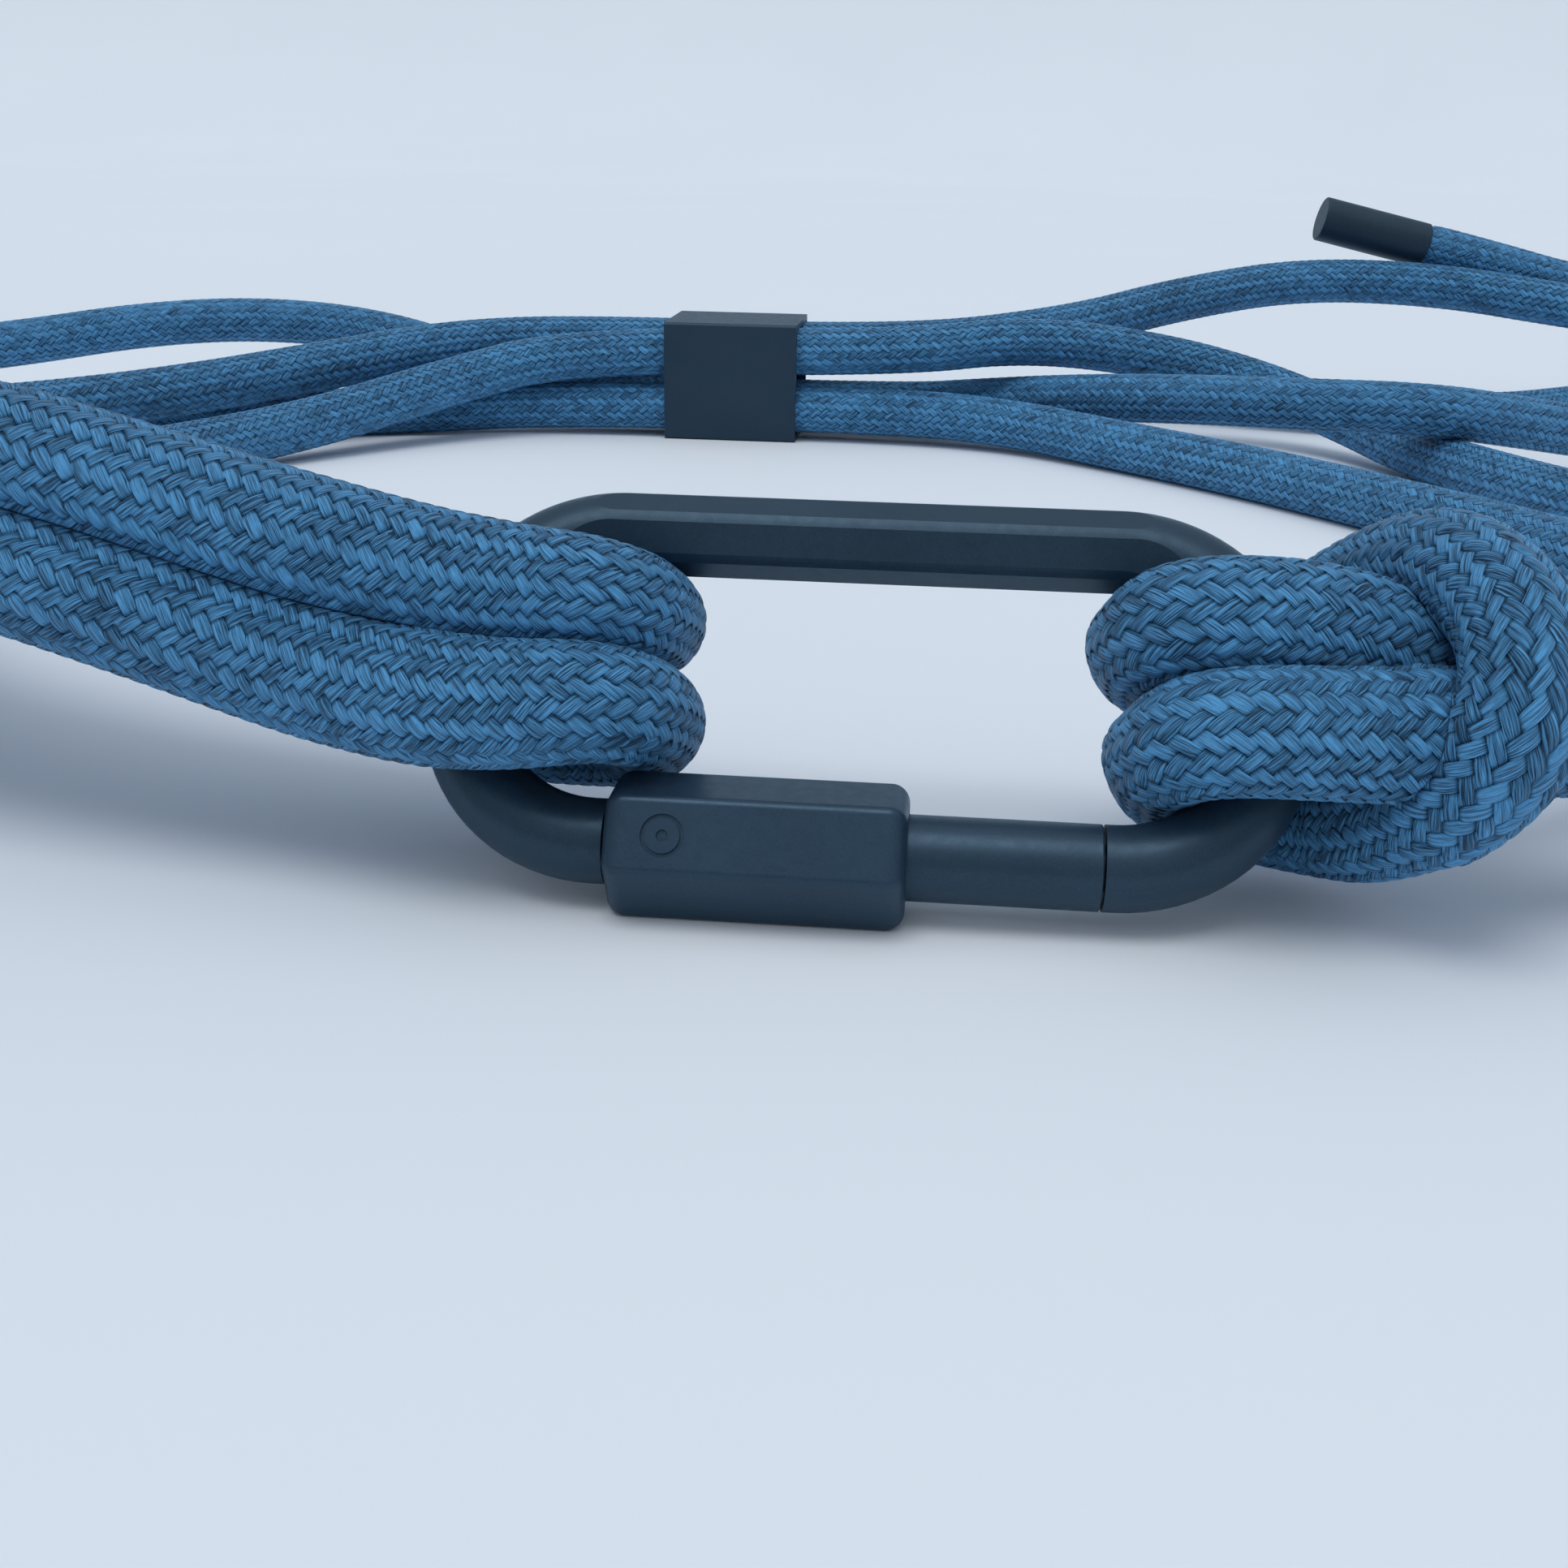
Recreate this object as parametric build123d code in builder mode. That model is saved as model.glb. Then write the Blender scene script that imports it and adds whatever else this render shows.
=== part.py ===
"""Doubled braided cord with a screw-lock link, a slider band and two end ferrules.

Millimetres, +Z up. The link leans back on its screw grip, whose lowest flat lies on the table at Z = 0.
X runs along the link, and the origin is under the middle of the link.
"""
from build123d import *
import math
import os

os.makedirs("parts", exist_ok=True)

# ---------------------------------------------------------------- link, driving dimensions
ROD_D = 8.0                 # link rod
LINK_L = 84.0               # over the bows
LINK_W = 40.0               # over the arms
BEND_R = 14.0               # rod axis in the four bends
LEAN = 50.0                 # degrees between the link's plane and the table
ARM_FLATS = 7.4             # across the six flats milled on the back arm
FLAT_RUNOUT_R = 12.0        # cutter radius at the ends of those flats

# screw grip and gate
GRIP_AF = 12.0              # across flats
GRIP_X0, GRIP_X1 = -22.3, 5.2
GRIP_EDGE_R = 0.9
GRIP_END_R = 1.7
GRIP_WALL = 2.6             # end wall that the neck passes through
THREAD_X = -4.5             # internal thread to the left of this, plain bore to the right
THREAD_D = 7.0
GATE_TRAVEL = 9.5
GATE_X1 = 22.75             # gate shoulder, closed
SEAM = 0.2                  # gap between the gate shoulder and the link end
RUN_FIT = 0.05              # radial running clearance
NECK_D = 5.0
RING_GROOVE_D = 4.2
RING_T = 1.0
RING_OD = 6.6
WASHER_T = 0.6
PIN_D = 3.0
PIN_FLAT = 0.5              # depth of the flat that keys the gate
TIP_D = 4.2
TIP_L = 2.7
SEAT_OD = 6.0
SEAT_L = 3.2

# slider band
BAND_L, BAND_T, BAND_H = 30.0, 27.0, 26.0
BAND_X0, BAND_Y0 = -59.6, 247.3
BAND_WALL = 1.2
BAND_CORNER_R = 0.8

# cord and ferrules
CORD_D = 10.0
FERRULE_D = 10.8
FERRULE_L = 27.5
FERRULE_EDGE_R = 0.4
END_D = 8.6                 # cord compressed inside a ferrule
END_L = 20.0

# ---------------------------------------------------------------- the link's own plane
rod_r = ROD_D / 2
bow_x = LINK_L / 2 - rod_r                       # rod axis at the bows
arm_w = LINK_W / 2 - rod_r                       # rod axis at the arms
lean = math.radians(LEAN)
axis_z = GRIP_AF / 2                             # grip axis above the table
grip_corner = GRIP_AF / 2 / math.cos(math.radians(30))
arm_rise = 2 * arm_w * math.sin(lean)
arm_run = 2 * arm_w * math.cos(lean)
axis_y = (grip_corner - rod_r - arm_run) / 2     # centres the link front to back over the origin
link_centre = Vector(0, axis_y + arm_run / 2, axis_z + arm_rise / 2)
link_plane = Plane(origin=link_centre, x_dir=(1, 0, 0),
                   z_dir=(0, -math.sin(lean), math.cos(lean)))
front_axis = link_plane.from_local_coords(Vector(0, -arm_w, 0))
back_axis = link_plane.from_local_coords(Vector(0, arm_w, 0))


def on_axis(x, base=front_axis):
    """Plane across an arm of the link at x, its own x along world Y and its z along +X."""
    return Plane(origin=(x, base.Y, base.Z), x_dir=(0, 1, 0), z_dir=(1, 0, 0))


def barrel(x0, x1, diameter, mode=Mode.ADD):
    """A cylinder on the front arm's axis from x0 to x1."""
    with BuildSketch(on_axis(x0)) as disc:
        Circle(diameter / 2)
    extrude(disc.sketch, amount=x1 - x0, mode=mode)


# ---------------------------------------------------------------- link frame
neck_x0 = GRIP_X0 - 0.3                          # shoulder of the left end, just outside the grip
washer_x = GRIP_X0 + GRIP_WALL + RUN_FIT
ring_x = washer_x + WASHER_T + RUN_FIT
neck_x1 = ring_x + RING_T + 0.6
seat_x = GATE_X1 + SEAM
flat_half = bow_x - BEND_R + 1.0                 # the flats reach just into the bends
flat_depth = rod_r - ARM_FLATS / 2
runout = math.sqrt(2 * FLAT_RUNOUT_R * (flat_depth + 0.5))

with BuildPart() as link_frame:
    with BuildLine(link_plane) as rod_line:
        FilletPolyline((seat_x, -arm_w), (bow_x, -arm_w), (bow_x, arm_w), (-bow_x, arm_w),
                       (-bow_x, -arm_w), (neck_x0, -arm_w), radius=BEND_R)
    with BuildSketch(Plane(origin=rod_line.line @ 0, z_dir=rod_line.line % 0)):
        Circle(rod_r)
    sweep()
    for k in range(6):
        normal_angle = LEAN + 60 * k
        flat_n = Vector(0, math.cos(math.radians(normal_angle)), math.sin(math.radians(normal_angle)))
        side = Plane(origin=(0, back_axis.Y, back_axis.Z), x_dir=(1, 0, 0),
                     z_dir=Vector(1, 0, 0).cross(flat_n))
        top = rod_r + 0.5
        low = ARM_FLATS / 2
        with BuildSketch(side):
            with BuildLine():
                Line((-flat_half, low), (flat_half, low))
                run_up = RadiusArc((flat_half, low), (flat_half + runout, top), -FLAT_RUNOUT_R)
                Line((flat_half + runout, top), (-flat_half - runout, top))
                RadiusArc((-flat_half - runout, top), (-flat_half, low), -FLAT_RUNOUT_R)
            make_face()
        extrude(amount=2.6, both=True, mode=Mode.SUBTRACT)
    barrel(neck_x0, neck_x1, NECK_D)
    with BuildSketch(on_axis(ring_x - RUN_FIT)):
        Circle(NECK_D / 2 + 0.2)
        Circle(RING_GROOVE_D / 2, mode=Mode.SUBTRACT)
    extrude(amount=RING_T + 2 * RUN_FIT, mode=Mode.SUBTRACT)
    barrel(neck_x1 - 4.0, neck_x1, PIN_D, mode=Mode.SUBTRACT)
    barrel(seat_x, seat_x + SEAT_L, SEAT_OD, mode=Mode.SUBTRACT)
link_frame.part.label = "link_frame"
export_step(link_frame.part, "parts/link_frame.step")

# ---------------------------------------------------------------- seat insert in the right end
with BuildPart() as seat_insert:
    barrel(seat_x, seat_x + SEAT_L, SEAT_OD)
    barrel(seat_x, seat_x + SEAT_L, TIP_D + 2 * RUN_FIT, mode=Mode.SUBTRACT)
seat_insert.part.label = "seat_insert"
export_step(seat_insert.part, "parts/seat_insert.step")

# ---------------------------------------------------------------- screw grip
with BuildPart() as screw_grip:
    with BuildSketch(on_axis(GRIP_X0)):
        RegularPolygon(radius=GRIP_AF / 2, side_count=6, major_radius=False, rotation=0)
    extrude(amount=GRIP_X1 - GRIP_X0)
    fillet(screw_grip.edges().filter_by(Axis.X), radius=GRIP_EDGE_R)
    fillet(screw_grip.faces().filter_by(Axis.X).edges(), radius=GRIP_END_R)
    barrel(GRIP_X0, GRIP_X1, NECK_D + 2 * RUN_FIT, mode=Mode.SUBTRACT)
    barrel(GRIP_X0 + GRIP_WALL, GRIP_X1, THREAD_D + 2 * RUN_FIT, mode=Mode.SUBTRACT)
    barrel(THREAD_X, GRIP_X1, ROD_D + 2 * RUN_FIT, mode=Mode.SUBTRACT)
    # a plain ring and dot, sunk in the front facet near its left end
    facet_n = Vector(0, -math.cos(math.radians(30)), math.sin(math.radians(30)))
    mark_at = Vector(GRIP_X0 + 5.6, front_axis.Y, front_axis.Z) + facet_n * (GRIP_AF / 2)
    with BuildSketch(Plane(origin=mark_at, x_dir=(1, 0, 0), z_dir=facet_n)):
        Circle(2.0)
        Circle(1.6, mode=Mode.SUBTRACT)
        Circle(0.55)
    extrude(amount=-0.25, mode=Mode.SUBTRACT)
screw_grip.part.label = "screw_grip"
export_step(screw_grip.part, "parts/screw_grip.step")

# ---------------------------------------------------------------- pieces held inside the grip
with BuildPart() as thrust_washer:
    barrel(washer_x, washer_x + WASHER_T, RING_OD)
    barrel(washer_x, washer_x + WASHER_T, NECK_D + 2 * RUN_FIT, mode=Mode.SUBTRACT)
thrust_washer.part.label = "thrust_washer"
export_step(thrust_washer.part, "parts/thrust_washer.step")

with BuildPart() as retaining_ring:
    barrel(ring_x, ring_x + RING_T, RING_OD)
    barrel(ring_x, ring_x + RING_T, RING_GROOVE_D + 2 * RUN_FIT, mode=Mode.SUBTRACT)
    # the gap that lets the ring spring over the neck
    with BuildSketch(on_axis(ring_x)):
        with Locations((0, RING_OD / 2)):
            Rectangle(1.6, RING_OD)
    extrude(amount=RING_T, mode=Mode.SUBTRACT)
retaining_ring.part.label = "retaining_ring"
export_step(retaining_ring.part, "parts/retaining_ring.step")

stem_x0 = neck_x1 + 0.4 + GATE_TRAVEL            # left end of the gate stem, closed
pin_x1 = GRIP_X1 - 2.0
with BuildPart() as guide_pin:
    barrel(neck_x1 - 4.0, pin_x1, PIN_D)
    with BuildSketch(on_axis(neck_x1)):
        with Locations((0, PIN_D / 2)):
            Rectangle(PIN_D, 2 * PIN_FLAT)
    extrude(amount=pin_x1 - neck_x1, mode=Mode.SUBTRACT)
guide_pin.part.label = "guide_pin"
export_step(guide_pin.part, "parts/guide_pin.step")

# ---------------------------------------------------------------- gate rod
shoulder_x = THREAD_X + GATE_TRAVEL              # start of the full-size rod, closed
with BuildPart() as gate_rod:
    barrel(stem_x0, shoulder_x, THREAD_D)
    barrel(shoulder_x, GATE_X1, ROD_D)
    fillet(gate_rod.edges().filter_by(GeomType.CIRCLE).sort_by(Axis.X)[-1], radius=0.2)
    barrel(GATE_X1, GATE_X1 + TIP_L, TIP_D)
    chamfer(gate_rod.edges().filter_by(GeomType.CIRCLE).sort_by(Axis.X)[-1], length=0.5)
    # keyed bore over the guide pin, deep enough for the whole travel
    with BuildSketch(on_axis(stem_x0)):
        Circle(PIN_D / 2 + RUN_FIT)
        with Locations((0, PIN_D)):
            Rectangle(PIN_D * 2, 2 * (PIN_D / 2 + PIN_FLAT - RUN_FIT), mode=Mode.SUBTRACT)
    extrude(amount=pin_x1 + GATE_TRAVEL + 0.8 - stem_x0, mode=Mode.SUBTRACT)
gate_rod.part.label = "gate_rod"
export_step(gate_rod.part, "parts/gate_rod.step")

# ---------------------------------------------------------------- slider band
band_mid = (BAND_X0 + BAND_L / 2, BAND_Y0 + BAND_T / 2, BAND_H / 2)
with BuildPart() as slider_band:
    with BuildSketch(Plane(origin=(BAND_X0, band_mid[1], band_mid[2]), x_dir=(0, 1, 0), z_dir=(1, 0, 0))):
        RectangleRounded(BAND_T, BAND_H, BAND_CORNER_R)
        RectangleRounded(BAND_T - 2 * BAND_WALL, BAND_H - 2 * BAND_WALL, BAND_CORNER_R / 2,
                         mode=Mode.SUBTRACT)
    extrude(amount=BAND_L)
slider_band.part.label = "slider_band"
export_step(slider_band.part, "parts/slider_band.step")

# ---------------------------------------------------------------- cord route
# One length of cord from ferrule 1 to ferrule 2. Free stretches are (x, y, z) in the part's frame;
# the turns round the link are (x, w, n) in the link's own plane, n standing off towards the front.
tail_1 = [(123.5, 330, 41.7), (142, 331, 37.5), (161, 330.5, 32.6), (186, 335, 29.5), (214, 352, 23),
          (242, 372, 14), (270, 381, 8.5), (298, 372, 5.5), (313, 347, 5), (311, 317, 5.3),
          (288, 299, 8.5), (256, 296, 15), (224, 303, 20), (192, 312.5, 25), (158, 319.5, 28.5),
          (127, 324, 32.6), (92, 321.5, 33.3), (60, 306.5, 28.8), (33, 288, 23)]
left_inner_1 = [(-7, 267.4, 19.4), (-83, 267.4, 19.8), (-110, 252, 19.4), (-133, 232, 16.2),
                (-158, 207, 13), (-180, 182, 12), (-193, 150, 14.5), (-192, 110, 19.8),
                (-176, 74, 24.5), (-148, 45, 27.5), (-116, 26, 27.3), (-88, 16, 24.8), (-67, 11, 20.3),
                (-51, 8, 15.8)]
lower_turn = [(-38, -1.2, -9.5), (-20.3, -1.7, -9.4), (-20.3, -5.4, 9.4), (-36, -7.0, 9.5)]
left_outer_1 = [(-50, -6, 20.2), (-65, -4.3, 24), (-81, -2.5, 28), (-103, 2, 31.5), (-130, 13, 32),
                (-160, 33, 29), (-188, 62, 24.5), (-207, 100, 17.5), (-209, 140, 10.5), (-198, 177, 6),
                (-172, 209, 5.2), (-143, 232.5, 5.1), (-113, 245.5, 5.3), (-84, 253.6, 6.4),
                (-7, 253.6, 7)]
right_inner = [(20, 246, 6.2), (40, 229, 5.2), (60, 208, 5), (81, 181, 5), (103, 147, 5),
               (122, 111, 5.5), (127, 75, 9), (112, 48, 15), (90, 31, 21), (71, 19, 24.6)]
hitch = [(57, 3.5, -3.4), (45.5, 5.2, 8.2), (26.6, 5.4, 9.4), (26.6, 7.2, -9.4), (41, 11.3, -9.8),
         (47.4, 14.8, -2.8), (52.5, 13.2, 6.6), (56.2, 5.4, 13.6), (56.8, -3.6, 14.6),
         (54, -9.4, 8.6), (48.8, -10.0, -2.2), (43.6, -7.0, -9.8), (28.4, -4.0, -9.4),
         (28.4, -5.8, 9.4), (46, -5.6, 9.8), (57, -3.5, 4.9)]
right_outer = [(71, 1.5, 18), (90, 9, 17), (118, 25, 14), (145, 47, 10), (164, 80, 6.5), (166, 120, 5),
               (148, 152, 5), (125, 180, 5), (113, 206, 5), (104, 230, 5.2), (94, 253, 8.2),
               (77, 267, 13.8), (53, 269, 19.4), (22, 261, 23.2), (-7, 253.8, 20)]
left_inner_2 = [(-83, 253.6, 18.4), (-108, 236, 12.4), (-130, 208, 6.6), (-150, 177, 5.1),
                (-164, 146, 5.4), (-168, 114, 11.5), (-160, 84, 21), (-141, 57, 29.5), (-115, 35, 34.5),
                (-88, 23, 34), (-67, 17.5, 30), (-51, 15, 25.5)]
upper_turn = [(-38, 11.4, -9.6), (-21.3, 9.4, -9.4), (-21.3, 4.6, 9.4), (-36, 5.2, 9.5)]
left_outer_2 = [(-50.5, -2, 31), (-66.5, 0, 34.8), (-83, 2, 38.6), (-108, 8, 42), (-140, 24, 42),
                (-175, 50, 38), (-212, 90, 31), (-238, 140, 23), (-243, 190, 17.5), (-234, 226, 15.6),
                (-216, 252, 16.2), (-193, 273, 19.3), (-168, 284, 20.3), (-140, 286, 18.3),
                (-114, 281.5, 12.5), (-83, 267.2, 6.4), (-6, 267, 6.2)]
tail_2 = [(14, 264, 8.4), (36, 252, 11.6), (58, 236, 14.2), (80, 222, 15.8), (102, 217, 16.3),
          (124, 225, 13), (148, 240, 8.4), (176, 255, 5.2), (208, 263, 5), (239, 277, 5), (253, 303, 5),
          (245, 332, 5), (219, 346, 5), (188, 337, 5), (164, 311, 5), (132, 286, 5), (95, 285.5, 5.2),
          (57, 299, 13.8)]


def off_link(points):
    """Points of the link's own plane, in the part's frame."""
    return [tuple(link_plane.from_local_coords(Vector(*p))) for p in points]


stretches = [("cord_tail_1", tail_1), ("cord_left_a", left_inner_1), ("cord_lower_turn", off_link(lower_turn)),
             ("cord_left_b", left_outer_1), ("cord_right_a", right_inner), ("cord_hitch", off_link(hitch)),
             ("cord_right_b", right_outer), ("cord_left_c", left_inner_2),
             ("cord_upper_turn", off_link(upper_turn)), ("cord_left_d", left_outer_2), ("cord_tail_2", tail_2)]
LONGEST_NODE = 9            # route points in one node at most

route = []
node_of = []
for name, points in stretches:
    count = math.ceil(len(points) / LONGEST_NODE)
    for i, point in enumerate(points):
        route.append(Vector(*point))
        part_no = i * count // len(points) + 1
        node_of.append(name if count == 1 else f"{name}_{part_no}")


def corner_radius(i):
    """Radius of the cord's axis at route point i: as large as its two runs allow."""
    before, after = route[i] - route[i - 1], route[i + 1] - route[i]
    turn = math.radians(before.get_angle(after))
    return 0.45 * min(before.length, after.length) / math.tan(turn / 2)


def cord_tube(name, first, last):
    """The cord along route points first to last, cut square halfway along the runs beyond them."""
    start = route[first] if first == 0 else (route[first - 1] + route[first]) / 2
    end = route[last] if last == len(route) - 1 else (route[last] + route[last + 1]) / 2
    inner = [i for i in range(first, last + 1) if 0 < i < len(route) - 1]
    points = [start] + [route[i] for i in inner] + [end]
    radii = [corner_radius(i) for i in inner]
    with BuildPart() as tube:
        with BuildLine():
            axis = FilletPolyline(*points, radius=radii)
        with BuildSketch(Plane(origin=axis @ 0, z_dir=axis % 0)):
            Circle(CORD_D / 2)
        sweep()
    tube.part.label = name
    export_step(tube.part, f"parts/{name}.step")
    ideal = math.pi * CORD_D ** 2 / 4 * axis.length
    print(f"{name:20s} length {axis.length:7.1f}  volume/ideal {tube.part.volume / ideal:.4f}"
          f"  radii {' '.join(f'{r:.0f}' for r in radii)}")
    return axis.length


cord_length = 0.0
first = 0
for i in range(1, len(route) + 1):
    if i == len(route) or node_of[i] != node_of[first]:
        cord_length += cord_tube(node_of[first], first, i - 1)
        first = i
print(f"cord, ferrule mouth to ferrule mouth: {cord_length:.0f} mm")


# ---------------------------------------------------------------- ferrules
def ferrule(number, mouth, next_point):
    """A cap in line with the cord's last run, and the compressed end of the cord inside it."""
    mouth = Vector(*mouth)
    inward = (mouth - Vector(*next_point)).normalized()
    mouth_plane = Plane(origin=mouth, z_dir=inward)
    with BuildPart() as cap:
        with BuildSketch(mouth_plane):
            Circle(FERRULE_D / 2)
        extrude(amount=FERRULE_L)
        fillet(cap.edges().filter_by(GeomType.CIRCLE), radius=FERRULE_EDGE_R)
        with BuildSketch(mouth_plane):
            Circle(END_D / 2)
        extrude(amount=END_L, mode=Mode.SUBTRACT)
    cap.part.label = f"ferrule_{number}"
    export_step(cap.part, f"parts/ferrule_{number}.step")
    with BuildPart() as end:
        with BuildSketch(mouth_plane):
            Circle(END_D / 2)
        extrude(amount=END_L)
    end.part.label = f"cord_end_{number}"
    export_step(end.part, f"parts/cord_end_{number}.step")
    return mouth + inward * FERRULE_L


for number, tail in ((1, tail_1), (2, tail_2[::-1])):
    tip = ferrule(number, tail[0], tail[1])
    print(f"ferrule {number} tip at {tip.X:.1f} {tip.Y:.1f} {tip.Z:.1f}")
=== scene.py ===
"""The looks of a braided cord with a screw-lock link, a slider band and two ferrules."""
import math

import bpy
import numpy as np
from mathutils import Matrix, Vector


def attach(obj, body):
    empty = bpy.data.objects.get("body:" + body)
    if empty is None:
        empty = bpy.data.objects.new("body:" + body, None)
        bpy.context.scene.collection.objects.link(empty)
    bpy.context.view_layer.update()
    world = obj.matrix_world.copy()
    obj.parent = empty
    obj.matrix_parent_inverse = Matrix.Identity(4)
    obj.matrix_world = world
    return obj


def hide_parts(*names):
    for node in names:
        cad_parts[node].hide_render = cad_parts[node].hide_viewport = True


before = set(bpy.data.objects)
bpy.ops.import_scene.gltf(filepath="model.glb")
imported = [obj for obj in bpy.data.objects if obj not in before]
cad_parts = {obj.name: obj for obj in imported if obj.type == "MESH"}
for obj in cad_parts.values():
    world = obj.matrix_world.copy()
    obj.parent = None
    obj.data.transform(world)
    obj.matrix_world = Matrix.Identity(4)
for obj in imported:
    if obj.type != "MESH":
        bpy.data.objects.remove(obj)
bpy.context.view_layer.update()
MM = 0.001

# ---------------------------------------------------------------- camera
CAM_AT = Vector((8.1, -160.4, 69.3)) * MM
PITCH, YAW, ROLL = (math.radians(a) for a in (20.43, 5.42, 1.03))
SENSOR = 36.0                   # mm
FOCAL_PX, PHOTO_PX = 2200, 1932  # focal length and picture width, both in the photo's pixels
ahead = Vector((-math.sin(YAW) * math.cos(PITCH), math.cos(YAW) * math.cos(PITCH), -math.sin(PITCH)))
level = Vector((math.cos(YAW), math.sin(YAW), 0))
above = level.cross(ahead)
right = level * math.cos(ROLL) + above * math.sin(ROLL)
up = above * math.cos(ROLL) - level * math.sin(ROLL)
cam_data = bpy.data.cameras.new("camera")
cam_data.sensor_width = SENSOR
cam_data.lens = SENSOR * FOCAL_PX / PHOTO_PX
cam_data.clip_start = 0.01
cam_data.clip_end = 30
camera = bpy.data.objects.new("camera", cam_data)
bpy.context.collection.objects.link(camera)
turn = Matrix((right, up, -ahead)).transposed()
camera.matrix_world = Matrix.Translation(CAM_AT) @ turn.to_4x4()
bpy.context.scene.camera = camera

# ---------------------------------------------------------------- the link's own plane
LEAN = math.radians(50.0)     # the link's plane rises towards the back at this angle
LINK_CENTRE = Vector((0, 1.465, 18.25))
LINK_W = Vector((0, math.cos(LEAN), math.sin(LEAN)))
LINK_N = Vector((0, -math.sin(LEAN), math.cos(LEAN)))
ROD_R = 4.0
BOW_R = 14.0                  # the bows' corners, on the rod's middle line
BOW_X, BOW_W = 24.0, 2.0      # where those corners have their centres


def off_link(points):
    """Points (x, w, n) of the link's own plane, in the frame, in millimetres."""
    return [tuple(LINK_CENTRE + Vector((x, 0, 0)) + LINK_W * w + LINK_N * n) for x, w, n in points]


# ---------------------------------------------------------------- cord route, ferrule to ferrule, mm
tail_1 = [(123.5, 330, 41.7), (142, 331, 37.5), (161, 330.5, 32.6), (186, 335, 29.5), (214, 352, 23),
          (242, 372, 14), (270, 381, 8.5), (298, 372, 5.5), (313, 347, 5), (311, 317, 5.3),
          (288, 299, 8.5), (256, 296, 15), (224, 303, 20), (192, 312.5, 25), (158, 319.5, 28.5),
          (127, 324, 32.6), (92, 321.5, 33.3), (60, 306.5, 28.8), (33, 288, 23)]
left_inner_1 = [(-7, 267.4, 19.4), (-83, 267.4, 19.8), (-110, 252, 19.4), (-133, 232, 16.2),
                (-158, 207, 13), (-180, 182, 12), (-193, 150, 14.5), (-192, 110, 19.8),
                (-176, 74, 24.5), (-148, 45, 27.5), (-116, 26, 27.3), (-88, 16, 24.8), (-67, 11, 20.3),
                (-51, 8, 15.8)]
lower_turn = [(-38, -1.2, -9.5), (-20.3, -1.7, -9.4), (-20.3, -5.4, 9.4), (-36, -7.0, 9.5)]
left_outer_1 = [(-50, -6, 20.2), (-65, -4.3, 24), (-81, -2.5, 28), (-103, 2, 31.5), (-130, 13, 32),
                (-160, 33, 29), (-188, 62, 24.5), (-207, 100, 17.5), (-209, 140, 10.5), (-198, 177, 6),
                (-172, 209, 5.2), (-143, 232.5, 5.1), (-113, 245.5, 5.3), (-84, 253.6, 6.4),
                (-7, 253.6, 7)]
right_inner = [(20, 246, 6.2), (40, 229, 5.2), (60, 208, 5), (81, 181, 5), (103, 147, 5),
               (122, 111, 5.5), (127, 75, 9), (112, 48, 15), (90, 31, 21), (71, 19, 24.6)]
hitch = [(57, 3.5, -3.4), (45.5, 5.2, 8.2), (26.6, 5.4, 9.4), (26.6, 7.2, -9.4), (41, 11.3, -9.8),
         (47.4, 14.8, -2.8), (52.5, 13.2, 6.6), (56.2, 5.4, 13.6), (56.8, -3.6, 14.6),
         (54, -9.4, 8.6), (48.8, -10.0, -2.2), (43.6, -7.0, -9.8), (28.4, -4.0, -9.4),
         (28.4, -5.8, 9.4), (46, -5.6, 9.8), (57, -3.5, 4.9)]
right_outer = [(71, 1.5, 18), (90, 9, 17), (118, 25, 14), (145, 47, 10), (164, 80, 6.5), (166, 120, 5),
               (148, 152, 5), (125, 180, 5), (113, 206, 5), (104, 230, 5.2), (94, 253, 8.2),
               (77, 267, 13.8), (53, 269, 19.4), (22, 261, 23.2), (-7, 253.8, 20)]
left_inner_2 = [(-83, 253.6, 18.4), (-108, 236, 12.4), (-130, 208, 6.6), (-150, 177, 5.1),
                (-164, 146, 5.4), (-168, 114, 11.5), (-160, 84, 21), (-141, 57, 29.5), (-115, 35, 34.5),
                (-88, 23, 34), (-67, 17.5, 30), (-51, 15, 25.5)]
upper_turn = [(-38, 11.4, -9.6), (-21.3, 9.4, -9.4), (-21.3, 4.6, 9.4), (-36, 5.2, 9.5)]
left_outer_2 = [(-50.5, -2, 31), (-66.5, 0, 34.8), (-83, 2, 38.6), (-108, 8, 42), (-140, 24, 42),
                (-175, 50, 38), (-212, 90, 31), (-238, 140, 23), (-243, 190, 17.5), (-234, 226, 15.6),
                (-216, 252, 16.2), (-193, 273, 19.3), (-168, 284, 20.3), (-140, 286, 18.3),
                (-114, 281.5, 12.5), (-83, 267.2, 6.4), (-6, 267, 6.2)]
tail_2 = [(14, 264, 8.4), (36, 252, 11.6), (58, 236, 14.2), (80, 222, 15.8), (102, 217, 16.3),
          (124, 225, 13), (148, 240, 8.4), (176, 255, 5.2), (208, 263, 5), (239, 277, 5), (253, 303, 5),
          (245, 332, 5), (219, 346, 5), (188, 337, 5), (164, 311, 5), (132, 286, 5), (95, 285.5, 5.2),
          (57, 299, 13.8)]
STRETCHES = [("tail_1", tail_1), ("left_a", left_inner_1), ("lower_turn", off_link(lower_turn)),
             ("left_b", left_outer_1), ("right_a", right_inner), ("hitch", off_link(hitch)),
             ("right_b", right_outer), ("left_c", left_inner_2), ("upper_turn", off_link(upper_turn)),
             ("left_d", left_outer_2), ("tail_2", tail_2)]
ROUTE = [(name, i, point) for name, points in STRETCHES for i, point in enumerate(points)]
POINT_NO = {(name, i): n for n, (name, i, point) in enumerate(ROUTE)}


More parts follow.
